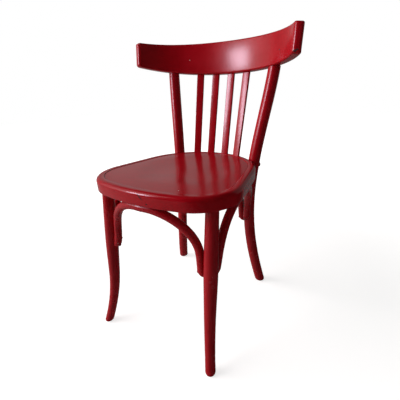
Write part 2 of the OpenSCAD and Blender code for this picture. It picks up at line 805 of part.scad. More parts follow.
// the rear glides sit towards the back of the feet
heel = [post_x(glide_height) + 2, post_y(glide_height) + 3];
module glide_pin(x, y, gap) {
  translate([x, y, glide_height - 1])
    cylinder(r = 1.5 + gap, h = 13, $fn = 16);
}
glide_radius = 7.5;
module foot_glide(x, y) {
  translate([x, y, 0])
    cylinder(r1 = glide_radius - 2, r2 = glide_radius, h = glide_height*0.5, $fn = 28);
  translate([x, y, glide_height*0.5])
    cylinder(r = glide_radius, h = glide_height*0.5, $fn = 28);
  glide_pin(x, y, 0);
}
module foot_glides() {
  color("#5a1316")
    both_sides() {
      foot_glide(leg_x(glide_height), leg_y(glide_height));
      foot_glide(heel[0], heel[1]);
    }
}

seat_ring();
seat_panel();
front_leg_left();
front_leg_right();
back_post_left();
back_post_right();
crest_rail();
slat_outer_left();
slat_inner_left();
slat_inner_right();
slat_outer_right();
front_arch();
back_arch();
left_arch();
right_arch();
post_bolts();
bolt_washers();
bolt_nuts();
arch_leg_screws();
arch_seat_screws();
panel_brads();
foot_glides();
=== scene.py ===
# %% [markdown]
# # A bentwood bistro chair in red paint
# The real chair is beech, turned and sawn straight, then steamed and bent round iron forms.
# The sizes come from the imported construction, which stays as it is. This script models what the
# eye sees on top of it: fair curves, eased edges, and an old coat of red paint.

# %% Load the construction
import math
import bmesh
import bpy
from mathutils import Matrix, Vector


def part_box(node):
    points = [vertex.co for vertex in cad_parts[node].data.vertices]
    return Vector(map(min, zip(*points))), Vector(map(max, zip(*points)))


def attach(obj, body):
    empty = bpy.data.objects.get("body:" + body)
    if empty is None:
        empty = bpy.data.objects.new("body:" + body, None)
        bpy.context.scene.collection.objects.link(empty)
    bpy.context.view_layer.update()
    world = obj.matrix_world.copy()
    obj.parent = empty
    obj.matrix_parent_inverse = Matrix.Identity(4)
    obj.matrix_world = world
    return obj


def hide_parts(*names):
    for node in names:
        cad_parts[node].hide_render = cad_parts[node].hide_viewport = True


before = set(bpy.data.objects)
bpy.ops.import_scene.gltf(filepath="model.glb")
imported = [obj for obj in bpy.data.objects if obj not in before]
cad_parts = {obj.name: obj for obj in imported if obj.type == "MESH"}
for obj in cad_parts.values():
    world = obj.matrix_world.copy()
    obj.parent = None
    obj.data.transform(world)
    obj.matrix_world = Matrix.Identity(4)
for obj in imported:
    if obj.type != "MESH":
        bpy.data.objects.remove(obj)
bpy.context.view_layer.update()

# %% [markdown]
# ## The camera
# The photograph was taken from close by, at standing height, with a wide lens. Its place, its turn
# and its focal length were solved from the chair's own edges, so they are written as real values.
# The picture's centre isn't quite the lens's centre, which the small shift takes up.

# %% Place the camera
MM = 0.001
EYE = Vector((400.9, -597.9, 651.1))
HEADING, PITCH, ROLL = math.radians(29.88), math.radians(-23.72), math.radians(-1.7)
PICTURE = 400
FOCAL = 261.28
LENS_CENTRE = (208.73, 204.65)

ahead = Vector((-math.sin(HEADING)*math.cos(PITCH), math.cos(HEADING)*math.cos(PITCH),
                math.sin(PITCH)))
level = Vector((math.cos(HEADING), math.sin(HEADING), 0))
upright = level.cross(ahead)
right = level*math.cos(ROLL) + upright*math.sin(ROLL)
up = upright*math.cos(ROLL) - level*math.sin(ROLL)

lens = bpy.data.cameras.new("camera")
lens.sensor_width = 36
lens.lens = FOCAL/PICTURE*lens.sensor_width
lens.shift_x = (PICTURE/2 - LENS_CENTRE[0])/PICTURE
lens.shift_y = (LENS_CENTRE[1] - PICTURE/2)/PICTURE
camera = bpy.data.objects.new("camera", lens)
camera.matrix_world = Matrix.Translation(EYE*MM) @ Matrix((right, up, -ahead)).transposed().to_4x4()
bpy.context.collection.objects.link(camera)
bpy.context.scene.camera = camera
print("lens in mm:", round(lens.lens, 2), "shift:", round(lens.shift_x, 4), round(lens.shift_y, 4))

# %% [markdown]
# ## Colours and nodes
# Paint is named by its sRGB hex value, as on a colour card. Blender's shaders want linear light,
# so one function turns it. A second small function adds any shader node with its settings.

# %% Colour and node helpers
def colour(code):
    """sRGB hex to linear RGBA."""
    parts = [int(code[i:i + 2], 16)/255 for i in (1, 3, 5)]
    return [p/12.92 if p <= 0.04045 else ((p + 0.055)/1.055)**2.4 for p in parts] + [1]


def add(tree, kind, settings=None, **inputs):
    """Adds a node. Inputs are values or the sockets that feed them, by name or as _0, _1 by place."""
    node = tree.nodes.new(kind)
    for key, value in (settings or {}).items():
        setattr(node, key, value)
    for key, value in inputs.items():
        socket = node.inputs[int(key[1:])] if key[0] == "_" else node.inputs[key.replace("_", " ")]
        if isinstance(value, bpy.types.NodeSocket):
            tree.links.new(value, socket)
        else:
            socket.default_value = value
    return node


# %% [markdown]
# ## The red paint
# Alkyd enamel brushed on beech long ago: glossy, a little uneven, and worn. The base is one red
# with slow changes in depth, since the coat is thicker in places. The bump has two sizes, both
# drawn coarser than they are so that they show as mottling in the highlights: the paint's sag,
# really 1.5 mm across but drawn 6 mm, and faint brush streaks along the grain, really about 1 mm
# wide but drawn 3.5 mm wide and 100 mm long.

# %% Wear in the paint
RAG, RAG_EDGE = 1.6, (1.4, 1.6)


def worn(tree, place, marks):
    """1 inside any mark. Noise adds about half a radius to each distance, so the edge is ragged."""
    rag = add(tree, "ShaderNodeTexNoise", Vector=place, Scale=1000/RAG, Detail=3.0)
    mask = None
    for centre, radius in marks:
        away = add(tree, "ShaderNodeVectorMath", {"operation": "DISTANCE"}, _0=place,
                   _1=Vector(centre)*MM)
        ragged = add(tree, "ShaderNodeMath", {"operation": "MULTIPLY_ADD"},
                     _0=rag.outputs["Fac"], _1=radius*MM, _2=away.outputs["Value"])
        near, far = (radius*MM*share for share in RAG_EDGE)
        inside = add(tree, "ShaderNodeMapRange", Value=ragged.outputs[0], From_Min=near,
                     From_Max=far, To_Min=1.0, To_Max=0.0).outputs[0]
        mask = inside if mask is None else add(tree, "ShaderNodeMath", {"operation": "MAXIMUM"},
                                               _0=mask, _1=inside).outputs[0]
    return mask


# %% [markdown]
# ## Wear where it really is
# The chair has few marks: chips at the crest rail's corners, down to dark primer, a nick that
# shows pale filler, a scratch across the ring's front, and dull spots where the seat was knocked.

# %% Places of the wear in millimetres, each with its radius
PRIMER, FILLER, DEEP = "#3b2a2c", "#c9a9a2", "#30040a"
CREST_WEAR = {PRIMER: [((240, 99, 728), 3.2), ((236, 98, 727), 2.2), ((244, 101, 730), 2.4),
                       ((-249, 104, 724), 2.2), ((-247, 102, 731), 1.6), ((186.6, 156.6, 739.8), 1.7)],
              FILLER: [((-109.3, 196.3, 738.3), 1.7)]}
scratch = [((11 + 1.3*i, -222.8, 451 - 1.45*i), 1.5) for i in range(8)]
RING_WEAR = {DEEP: scratch + [((32.2, -222, 431.6), 2)]}
SEAT_WEAR = {FILLER: [((85.7, -176.4, 456), 1.3)],
             DEEP: [((104, -196, 456), 1.8), ((-38, -60, 454), 1.4)]}
ARCH_WEAR = {FILLER: [((-128.5, -186.2, 270), 1.2)], DEEP: [((-127, -187, 276), 1.6)]}

# %% Paint material
PATCH, STREAK, SAG_WIDTH = 45, 3.5, 6
WORN_ROUGHNESS = 0.7


def paint(name, thick, thin, roughness, along=(1, 1, 30), wear=None, sag=0.008):
    """Brushed enamel. Streaks are stretched by along, per axis, and sag is the bump's depth in mm."""
    material = bpy.data.materials.new(name)
    material.use_nodes = True
    tree = material.node_tree
    shader = tree.nodes["Principled BSDF"]
    place = add(tree, "ShaderNodeTexCoord").outputs["Object"]
    depth = add(tree, "ShaderNodeTexNoise", Vector=place, Scale=1000/PATCH, Detail=3.0, Roughness=0.6)
    tint = add(tree, "ShaderNodeMapRange", Value=depth.outputs["Fac"], From_Min=0.35, From_Max=0.65)
    skin = add(tree, "ShaderNodeMix", {"data_type": "RGBA"}, _0=tint.outputs[0], _6=colour(thick),
               _7=colour(thin)).outputs[2]
    rough = add(tree, "ShaderNodeMapRange", Value=depth.outputs["Fac"], From_Min=0.3, From_Max=0.7,
                To_Min=roughness*0.9, To_Max=roughness*1.15).outputs[0]
    for code, marks in (wear or {}).items():
        mask = worn(tree, place, marks)
        skin = add(tree, "ShaderNodeMix", {"data_type": "RGBA"}, _0=mask, _6=skin,
                   _7=colour(code)).outputs[2]
        rough = add(tree, "ShaderNodeMix", _0=mask, _2=rough, _3=WORN_ROUGHNESS).outputs[0]
    streak_place = add(tree, "ShaderNodeMapping", Vector=place, Scale=[1/a for a in along])
    streaks = add(tree, "ShaderNodeTexNoise", Vector=streak_place.outputs[0], Scale=1000/STREAK,
                  Detail=3.0, Roughness=0.55)
    sags = add(tree, "ShaderNodeTexNoise", Vector=place, Scale=1000/SAG_WIDTH, Detail=2.0)
    heights = add(tree, "ShaderNodeMath", {"operation": "MULTIPLY_ADD"},
                  _0=streaks.outputs["Fac"], _1=0.4, _2=sags.outputs["Fac"])
    bump = add(tree, "ShaderNodeBump", Height=heights.outputs[0], Strength=0.8, Distance=sag*MM)
    tree.links.new(skin, shader.inputs["Base Color"])
    tree.links.new(rough, shader.inputs["Roughness"])
    tree.links.new(bump.outputs[0], shader.inputs["Normal"])
    shader.inputs["IOR"].default_value = 1.5
    shader.inputs["Specular IOR Level"].default_value = 0.5
    print("material:", name)
    return material


# %% The red paints
RED, RED_THIN = "#a80a17", "#b00d1b"
ROUND_THE_BEND = (30, 30, 1)
upright_paint = paint("red_enamel_on_turned_beech", RED, RED_THIN, 0.25)
slat_paint = paint("red_enamel_on_beech_slats", RED, RED_THIN, 0.20, sag=0.035)
arch_paint = paint("red_enamel_on_bent_rod", RED, RED_THIN, 0.26, (1, 1, 1), ARCH_WEAR, 0.005)
ring_paint = paint("red_enamel_on_bent_ring", RED, RED_THIN, 0.16, ROUND_THE_BEND, RING_WEAR, 0.025)
crest_paint = paint("red_enamel_on_crest_rail", RED, RED_THIN, 0.21, ROUND_THE_BEND, CREST_WEAR, 0.07)
panel_paint = paint("red_enamel_on_plywood", RED, RED_THIN, 0.19, (30, 2, 1), SEAT_WEAR, 0.03)

# %% [markdown]
# ## From bmesh to piece
# Everything is drawn in millimetres and brought to metres at the very end. Each piece stands in
# for its node of the construction, moves with the one rigid body, and takes that node's finish.

# %% Finish a piece
CREASE = math.radians(38)


def make_piece(bm, node, material):
    """Turns a bmesh drawn in mm into the piece that stands for one node."""
    bmesh.ops.remove_doubles(bm, verts=bm.verts, dist=0.002)
    bmesh.ops.recalc_face_normals(bm, faces=bm.faces)
    bmesh.ops.scale(bm, vec=(MM, MM, MM), verts=bm.verts)
    for face in bm.faces:
        face.smooth = True
    for edge in bm.edges:
        edge.smooth = edge.is_manifold and edge.calc_face_angle(0) < CREASE
    mesh = bpy.data.meshes.new(node + "_shape")
    bm.to_mesh(mesh)
    bm.free()
    mesh.materials.append(material)
    piece = bpy.data.objects.new(node + "_shape", mesh)
    bpy.context.collection.objects.link(piece)
    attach(piece, "root")
    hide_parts(node)
    print(node, "faces:", len(mesh.polygons))
    return piece


# %% [markdown]
# ## Sizes shared by the pieces
# The seat's plan is four kinds of curve: a round back, straight sides, round front corners and a
# slightly bowed front. Heights are above the floor. All are the construction's own sizes.

# %% Shared sizes in millimetres
SEAT_TOP = 457.5
RING_HEIGHT, RING_WIDTH, RIM_WIDTH = 34, 44, 21
RING_LOW = SEAT_TOP - RING_HEIGHT
PANEL_SINK, PANEL_THICK = 1.2, 5
BACK_RADIUS, SIDE_LENGTH, SIDE_ANGLE = 179.7, 127, math.radians(9.75)
CORNER_RADIUS, FRONT_RADIUS = 108.5, 554
ring_low, ring_high = (Vector(p)/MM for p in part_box("seat_ring"))
BACK_CENTRE = Vector((0, ring_high.y - BACK_RADIUS))


def ray(angle):
    return Vector((math.cos(angle), math.sin(angle)))


corner_centre = (BACK_CENTRE + (BACK_RADIUS - CORNER_RADIUS)*ray(SIDE_ANGLE)
                 + SIDE_LENGTH*Vector((math.sin(SIDE_ANGLE), -math.cos(SIDE_ANGLE))))
front_swing = math.acos(corner_centre.x/(FRONT_RADIUS - CORNER_RADIUS))
front_centre = Vector((0, corner_centre.y + (FRONT_RADIUS - CORNER_RADIUS)*math.sin(front_swing)))
print("seat depth:", round(ring_high.y - ring_low.y, 1),
      "centre of the round back at y", round(BACK_CENTRE.y, 2))

# %% The seat's outline as places and outward directions
BACK_STEPS, SIDE_STEPS, CORNER_STEPS, FRONT_STEPS = 44, 8, 34, 18


def seat_outline():
    """Goes once round the seat from the middle of the back, as (place, outward)."""
    half = []
    arcs = ((BACK_CENTRE, BACK_RADIUS, math.pi/2, SIDE_ANGLE, BACK_STEPS),
            (corner_centre, CORNER_RADIUS, SIDE_ANGLE, -front_swing, CORNER_STEPS),
            (front_centre, FRONT_RADIUS, -front_swing, -math.pi/2, FRONT_STEPS))
    for centre, radius, start, end, count in arcs:
        for i in range(count + 1):
            outward = ray(start + (end - start)*i/count)
            half.append((centre + radius*outward, outward))
        if centre == BACK_CENTRE:
            side_end = corner_centre + CORNER_RADIUS*ray(SIDE_ANGLE)
            side_start = half[-1][0]
            half += [(side_start.lerp(side_end, i/SIDE_STEPS), ray(SIDE_ANGLE))
                     for i in range(1, SIDE_STEPS)]
    half = [p for i, p in enumerate(half) if i == 0 or (p[0] - half[i - 1][0]).length > 0.01]
    other = [(Vector((-p.x, p.y)), Vector((-n.x, n.y))) for p, n in half[-2:0:-1]]
    return half + other


outline = seat_outline()
print("stations round the seat:", len(outline))

# %% [markdown]
# ## The bent seat ring
# One beech plank on edge, bent into a ring and scarfed at the ends, then moulded: a quarter round
# on top, an eased edge below and a rebate for the seat. A moulding is a section pushed along a
# path, so the section is drawn once, its corners are bevelled, and it is extruded station by
# station round the outline and bridged to its own start.

# %% Push a section along a path
def sweep(bm, loop, frames, closed):
    """Extrudes a loop of edges through frames. The loop is drawn in the first frame."""
    first, before = loop, frames[0]
    for frame_now in frames[1:]:
        grown = bmesh.ops.extrude_edge_only(bm, edges=loop)["geom"]
        verts = [g for g in grown if isinstance(g, bmesh.types.BMVert)]
        edges = [g for g in grown if isinstance(g, bmesh.types.BMEdge)]
        loop = [e for e in edges if all(v in verts for v in e.verts)]
        bmesh.ops.transform(bm, matrix=frame_now @ before.inverted(), verts=verts)
        before = frame_now
    if closed:
        bmesh.ops.bridge_loops(bm, edges=first + loop)
    return loop


def ring_frame(place, outward):
    """x points out of the seat, z up."""
    across = Vector((outward.x, outward.y, 0))
    travel = Vector((0, 0, 1)).cross(across)
    turn = Matrix((across, travel, (0, 0, 1))).transposed().to_4x4()
    return Matrix.Translation((place.x, place.y, 0)) @ turn


# %% Model the seat ring
RING_ROUND, RING_EASE, RIM_EASE, INNER_EASE = 10, 2.5, 2, 0.8


def model_ring():
    bm = bmesh.new()
    rebate = SEAT_TOP - PANEL_SINK - PANEL_THICK
    corners = [(-RING_WIDTH, RING_LOW, INNER_EASE), (0, RING_LOW, RING_EASE),
               (0, SEAT_TOP, RING_ROUND), (-RIM_WIDTH, SEAT_TOP, RIM_EASE),
               (-RIM_WIDTH, rebate, 0), (-RING_WIDTH, rebate, INNER_EASE)]
    verts = [bm.verts.new((x, 0, z)) for x, z, r in corners]
    for a, b in zip(verts, verts[1:] + verts[:1]):
        bm.edges.new((a, b))
    for vert, (x, z, radius) in zip(verts, corners):
        if radius:
            bmesh.ops.bevel(bm, geom=[vert], offset=radius, segments=max(3, round(radius)),
                            profile=0.5, affect="VERTICES", offset_type="OFFSET", material=-1)
    frames = [ring_frame(p, n) for p, n in outline]
    bmesh.ops.transform(bm, matrix=frames[0], verts=bm.verts)
    sweep(bm, list(bm.edges), frames, closed=True)
    return bm


make_piece(model_ring(), "seat_ring", ring_paint)

# %% [markdown]
# ## The seat panel
# Plywood let into the ring's rebate, just below its top, so a dark groove shows between them. The
# outline is filled with one face, pushed down for the thickness, and its top edge is eased. Cuts
# across it let the top carry a slight dish and the soft waves of old veneer, which bend the
# reflections of the slats. An inset can't do that here, because its loops would fold at the corners.

# %% Model the panel
PANEL_TOP = SEAT_TOP - PANEL_SINK
PANEL_GAP, PANEL_EASE = 0.5, 2
WAVE_CUT, WAVE_CUTS = 12, 14
DISH, DISH_REACH = 4, 150
cut_middle = Vector((0, BACK_CENTRE.y - 20, 0))
dish_middle = BACK_CENTRE - Vector((0, 22))


def veneer_wave(x, y):
    """Height of the veneer's waves in mm: long across the grain, longer along it."""
    return 0.35*math.sin(x/24 + 0.6) + 0.3*math.sin(y/27 + 0.4 + x/60) + 0.14*math.sin((x + y)/16)


def everything(bm):
    """All that a cut may go through."""
    return bm.verts[:] + bm.edges[:] + bm.faces[:]


def model_panel():
    bm = bmesh.new()
    inset = RIM_WIDTH + PANEL_GAP
    edge = [bm.verts.new((p.x - inset*n.x, p.y - inset*n.y, PANEL_TOP)) for p, n in outline]
    top = bm.faces.new(edge)
    walls = bmesh.ops.extrude_face_region(bm, geom=[top], use_keep_orig=True)["geom"]
    low = [g for g in walls if isinstance(g, bmesh.types.BMVert)]
    bmesh.ops.translate(bm, vec=(0, 0, -PANEL_THICK), verts=low)
    bmesh.ops.recalc_face_normals(bm, faces=bm.faces)
    rim = [e for e in bm.edges if all(v.co.z == PANEL_TOP for v in e.verts)]
    bmesh.ops.bevel(bm, geom=rim, offset=PANEL_EASE, segments=4, profile=0.5, affect="EDGES",
                    material=-1)
    for i in range(-WAVE_CUTS, WAVE_CUTS + 1):
        for direction in (Vector((1, 0, 0)), Vector((0, 1, 0))):
            bmesh.ops.bisect_plane(bm, geom=everything(bm), dist=0.01,
                                   plane_co=cut_middle + direction*i*WAVE_CUT, plane_no=direction)
    for vert in bm.verts:
        if vert.co.z > PANEL_TOP - 0.01:
            away = min((vert.co.xy - dish_middle).length/DISH_REACH, 1)
            vert.co.z += (veneer_wave(vert.co.x, vert.co.y) - DISH*(1 - away**2))*(1 - away**6)
    return bm


make_piece(model_panel(), "seat_panel", panel_paint)

# %% [markdown]
# ## Turned, then bent
# Legs and posts are turned round on a lathe and bent afterwards. The model is made the same way: a
# profile is spun about the upright axis, and then each height is shifted to where the centre line
# runs there. The feet are rounded, and stand on small glides.

# %% Turning and bending
def lookup(x, table):
    """Reads a table of (place, value) with straight lines between its rows."""
    if x <= table[0][0]:
        return table[0][1]
    for (a, p), (b, q) in zip(table, table[1:]):
        if x <= b:
            return p + (q - p)*(x - a)/(b - a)
    return table[-1][1]


GLIDE, FOOT_ROUND, FOOT_DEPTH = 3, 6, 4.8
BAR_SIDES, FOOT_CUTS = 48, 6


def foot_taken(z):
    """How far the foot's rounding takes off the radius near the floor."""
    above = max(0, GLIDE + FOOT_ROUND - z)/FOOT_ROUND
    return FOOT_DEPTH*(1 - math.sqrt(max(0, 1 - above**2)))


def turned(levels, radius):
    """Spins a profile with these heights into a closed bar."""
    bm = bmesh.new()
    points = [(0, levels[0])] + [(radius(z), z) for z in levels] + [(0, levels[-1])]
    verts = [bm.verts.new((r, 0, z)) for r, z in points]
    edges = [bm.edges.new(pair) for pair in zip(verts, verts[1:])]
    bmesh.ops.spin(bm, geom=verts + edges, axis=(0, 0, 1), cent=(0, 0, 0), steps=BAR_SIDES,
                   angle=2*math.pi, use_merge=True)
    bmesh.ops.remove_doubles(bm, verts=bm.verts, dist=0.001)
    return bm


def shift_levels(bm, centre):
    """Bends a turned bar: moves every level to its place on the centre line."""
    for vert in bm.verts:
        x, y = centre(vert.co.z)
        vert.co += Vector((x, y, 0))


# %% [markdown]
# ## Front legs
# They swell below the arches, thin towards the floor and sweep out in the last hand's breadth.

# %% Model the front legs
LEG_AIM = math.radians(-40)
LEG_TOP = corner_centre + (CORNER_RADIUS - RING_WIDTH/2)*ray(LEG_AIM)
LEG_SPREAD, SIDE_SWEEP = 22.9, 16.3
LEG_RAKE, FRONT_SWEEP = 70.5, 21.3
SWEEP_START, LEG_TENON = 170, 8
LEG_RADII = [(0, 13.3), (10, 13.2), (35, 13), (60, 13.3), (100, 13.9), (160, 15.1), (200, 16),
             (240, 17.1), (276, 17.4), (330, 16.8), (RING_LOW, 15)]


def leg_run(z, reach, sweep):
    """How far the leg has run outwards at a height: a straight part and the foot's sweep."""
    sweep_share = max(0, (SWEEP_START - z)/SWEEP_START)
    return (reach - sweep)*(RING_LOW - z)/RING_LOW + sweep*sweep_share**2


def leg_centre(z):
    return (LEG_TOP.x + leg_run(z, LEG_SPREAD, SIDE_SWEEP),
            LEG_TOP.y - leg_run(z, LEG_RAKE, FRONT_SWEEP))


def leg_radius(z):
    return lookup(z, LEG_RADII) - foot_taken(z)


def fair(radius, z, start, span):
    """Evens out a table of radii above the rounded foot, as a turner's skew chisel does."""
    if z <= start:
        return radius(z)
    return sum(radius(z + span*k/4) for k in range(-4, 5))/9


def foot_levels(top, step):
    """Heights for the profile: close together in the foot's rounding, then even."""
    first = GLIDE + FOOT_ROUND
    rounding = [first - FOOT_ROUND*math.cos(math.pi/2*i/FOOT_CUTS) for i in range(FOOT_CUTS + 1)]
    count = round((top - first)/step)
    return rounding + [first + (top - first)*i/count for i in range(1, count + 1)]


def fair_leg(z):
    return fair(leg_radius, z, start=45, span=26)


def mirrored(bm):
    """A copy for the other side of the chair."""
    twin = bm.copy()
    bmesh.ops.scale(twin, vec=(-1, 1, 1), verts=twin.verts)
    bmesh.ops.reverse_faces(twin, faces=twin.faces)
    return twin


leg = turned(foot_levels(top=RING_LOW + LEG_TENON, step=9), fair_leg)
shift_levels(leg, leg_centre)
make_piece(mirrored(leg), "front_leg_left", upright_paint)
make_piece(leg, "front_leg_right", upright_paint)

# %% [markdown]
# ## The crest rail's bend
# The rail bends more towards its ends. Its face line is summed in small steps from the angle at
# each place, and one function then carries any point of the straight plank to the bent, leaning
# rail. The posts and slats need the same function, because they end in its lower edge.

# %% The crest rail's own coordinates
CREST_HALF, CREST_THICK, CREST_HEIGHT, CREST_LOW = 273, 24.2, 88.4, 695.5
CREST_BEND, CREST_CURL = math.radians(37.5), math.radians(30)
CREST_LEAN = math.radians(7.7)
LOW_RISE, TOP_FALL = 13, 9.8
CREST_STEPS = 96
POST_AIM = math.radians(45.2)
POST_BULGE, POST_HOUSING, POST_SET_BACK = 17.6, 2.6, 9.3
POST_PLACE = BACK_CENTRE + (BACK_RADIUS + POST_BULGE - POST_HOUSING)*ray(POST_AIM)
POST_SPREAD, POST_RAKE, TOP_SPREAD, TOP_LEAN = 33.8, 23, 30.5, 42.6


def crest_angle(t):
    return CREST_BEND*t + CREST_CURL*t**3


crest_line = [(0.0, 0.0, 0.0)]
for i in range(CREST_STEPS):
    angle = crest_angle((i + 0.5)/CREST_STEPS)
    t, x, w = crest_line[-1]
    run = CREST_HALF/CREST_STEPS
    crest_line.append(((i + 1)/CREST_STEPS, x + run*math.cos(angle), w + run*math.sin(angle)))
crest_x = [(t, x) for t, x, w in crest_line]
crest_w = [(t, w) for t, x, w in crest_line]
crest_share = [(x + CREST_THICK/2*math.sin(crest_angle(t)), t) for t, x, w in crest_line]


def bent(t, behind, height):
    """A point of the rail in its leaning frame: t runs from -1 to 1 along it."""
    a = crest_angle(t)
    return Vector((math.copysign(lookup(abs(t), crest_x), t) + behind*math.sin(a),
                   behind*math.cos(a) - lookup(abs(t), crest_w), height))


lean = Matrix.Rotation(-CREST_LEAN, 4, "X")
post_share = lookup(POST_PLACE.x + TOP_SPREAD, crest_share)
post_seat = bent(post_share, CREST_THICK/2, LOW_RISE*post_share**2)
crest_origin = Vector((0, POST_PLACE.y + TOP_LEAN - POST_SET_BACK - (lean @ post_seat).y, CREST_LOW))
crest_place = Matrix.Translation(crest_origin) @ lean
POST_END = (crest_place @ post_seat).z
print("posts meet the rail at", [round(c, 1) for c in crest_place @ post_seat])

# %% [markdown]
# ## Rear posts
# Each post is one piece from the floor to the crest rail. Its centre line is a fair curve through
# four places, as a batten bent round pegs would lie. Where the ring is bolted on, the post has a
# shallow housing cut to the ring's curve. Its top is cut off in the plane of the rail's edge.

# %% Model the rear posts
WAIST_HEIGHT = 0.505*SEAT_TOP
POST_PEGS = (0, WAIST_HEIGHT, SEAT_TOP, POST_END)
POST_WAIST, POST_BOW = (-2, -13.2), (3, 2.1)
POST_LET_IN, POST_SPARE, HOUSING_LIP = 1.5, 14, 0.3
POST_RADII = [(0, 16.6), (130, 16.9), (357, 16.9), (RING_LOW, 17.4), (SEAT_TOP, 17.3), (517, 17.2),
              (POST_END - 45, 17), (POST_END + 30, 16.4)]


def through_pegs(z, offsets):
    """The one smooth curve that has these offsets at the four pegs."""
    total = 0
    for i, offset in enumerate(offsets):
        share = offset
        for j, peg in enumerate(POST_PEGS):
            if j != i:
                share *= (z - peg)/(POST_PEGS[i] - peg)
        total += share
    return total


def post_centre(z):
    bow = -math.prod(z - peg for peg in POST_PEGS)/(POST_END/3)**4
    x = through_pegs(z, (POST_SPREAD, POST_WAIST[0], 0, TOP_SPREAD)) + POST_BOW[0]*bow
    y = through_pegs(z, (POST_RAKE, POST_WAIST[1], 0, TOP_LEAN)) + POST_BOW[1]*bow
    return POST_PLACE.x + x, POST_PLACE.y + y


def post_radius(z):
    return lookup(z, POST_RADII) - foot_taken(z)


def fair_post(z):
    return fair(post_radius, z, start=40, span=18)


def cut_away(bm, point, outward):
    """Planes off all that lies beyond a plane and closes the cut."""
    cut = bmesh.ops.bisect_plane(bm, geom=everything(bm), plane_co=point, plane_no=outward,
                                 clear_outer=True)["geom_cut"]
    bmesh.ops.edgeloop_fill(bm, edges=[g for g in cut if isinstance(g, bmesh.types.BMEdge)])


def model_post():
    levels = foot_levels(top=POST_END + POST_SPARE, step=8)
    levels += [RING_LOW - HOUSING_LIP, RING_LOW, SEAT_TOP, SEAT_TOP + HOUSING_LIP]
    bm = turned(sorted(levels), fair_post)
    shift_levels(bm, post_centre)
    for vert in bm.verts:
        away = vert.co.xy - BACK_CENTRE
        if RING_LOW <= vert.co.z <= SEAT_TOP and away.length < BACK_RADIUS:
            vert.co.xy = BACK_CENTRE + away.normalized()*BACK_RADIUS
    slope = 2*LOW_RISE*post_share/CREST_HALF
    angle = crest_angle(post_share)
    upward = Vector((-slope*math.cos(angle), slope*math.sin(angle), 1))
    seat = crest_place @ (post_seat + Vector((0, 0, POST_LET_IN)))
    cut_away(bm, seat, crest_place.to_3x3() @ upward)
    return bm


post = model_post()
make_piece(mirrored(post), "back_post_left", upright_paint)
make_piece(post, "back_post_right", upright_paint)

# %% [markdown]
# ## Crest rail
# A straight plank first: its corners are rounded, then all its edges are eased. Cross cuts give it
# enough stations, its ends get a fuller nose than its long edges, as wear and old paint leave them,
# and the bending function does what steam and an iron form did.

# %% Model the crest rail
CREST_EDGE, CREST_CORNER, CREST_NOSE, CREST_CUTS = 5, 8.5, 9.5, 68


def across_x(bm, count, half):
    """Cuts a straight bar into stations along x."""
    for i in range(1, count):
        bmesh.ops.bisect_plane(bm, geom=everything(bm), dist=0.001,
                               plane_co=(half*(2*i/count - 1), 0, 0), plane_no=(1, 0, 0))


def rounded_half(from_end, radius):
    """Half the rail's thickness this far from its end, when the end is rounded by a radius."""
    short = max(radius - from_end, 0)
    return CREST_THICK/2 - radius + math.sqrt(radius**2 - short**2)


def nose_share(from_end):
    """Turns the ends' edge rounding into a fuller nose."""
    return rounded_half(from_end, CREST_NOSE)/rounded_half(from_end, CREST_EDGE)


def model_crest():
    bm = bmesh.new()
    bmesh.ops.create_cube(bm, size=1)
    bmesh.ops.scale(bm, vec=(2*CREST_HALF, CREST_THICK, CREST_HEIGHT), verts=bm.verts)
    bmesh.ops.translate(bm, vec=(0, CREST_THICK/2, CREST_HEIGHT/2), verts=bm.verts)
    through = [e for e in bm.edges if abs(e.verts[0].co.y - e.verts[1].co.y) > 1]
    bmesh.ops.bevel(bm, geom=through, offset=CREST_CORNER, segments=7, profile=0.5, affect="EDGES",
                    material=-1)
    faces = [f for f in bm.faces if abs(f.normal.y) > 0.9]
    rims = {e for f in faces for e in f.edges}
    bmesh.ops.bevel(bm, geom=list(rims), offset=CREST_EDGE, segments=5, profile=0.5, affect="EDGES",
                    material=-1)
    across_x(bm, CREST_CUTS, CREST_HALF)
    middle = CREST_THICK/2
    for vert in bm.verts:
        vert.co.y = middle + (vert.co.y - middle)*nose_share(CREST_HALF - abs(vert.co.x))
        t = vert.co.x/CREST_HALF
        low, high = LOW_RISE*t*t, CREST_HEIGHT - TOP_FALL*t*t
        height = low + (high - low)*vert.co.z/CREST_HEIGHT
        vert.co = crest_place @ bent(t, vert.co.y, height)
    return bm


make_piece(model_crest(), "crest_rail", crest_paint)

# %% [markdown]
# ## Slats
# Four flat laths, let into the ring and the rail. Each is a bar with eased edges, laid along the
# line between its two mortises. The mortises are cut by hand, so each lath is turned by some
# degrees in them and some are slightly twisted, and each catches the window in its own way.

# %% Model the slats
SLAT_WIDTH, SLAT_THICK, SLAT_EDGE, SLAT_LET_IN = 22.6, 7.9, 1.6, 15
SLAT_CUTS = 12
# Places of the head and foot along x, how far the foot stands in from the ring's edge, and the
# turns of the head and foot in degrees
SLATS = {"slat_outer_left": (-78.6, -71.2, 13.2, -16, -16),
         "slat_inner_left": (-26.2, -25.2, 15.5, -4, -8),
         "slat_inner_right": (26.2, 25.2, 15.5, 3.8, 2.2),
         "slat_outer_right": (78.6, 71.2, 13.2, 8, 15)}


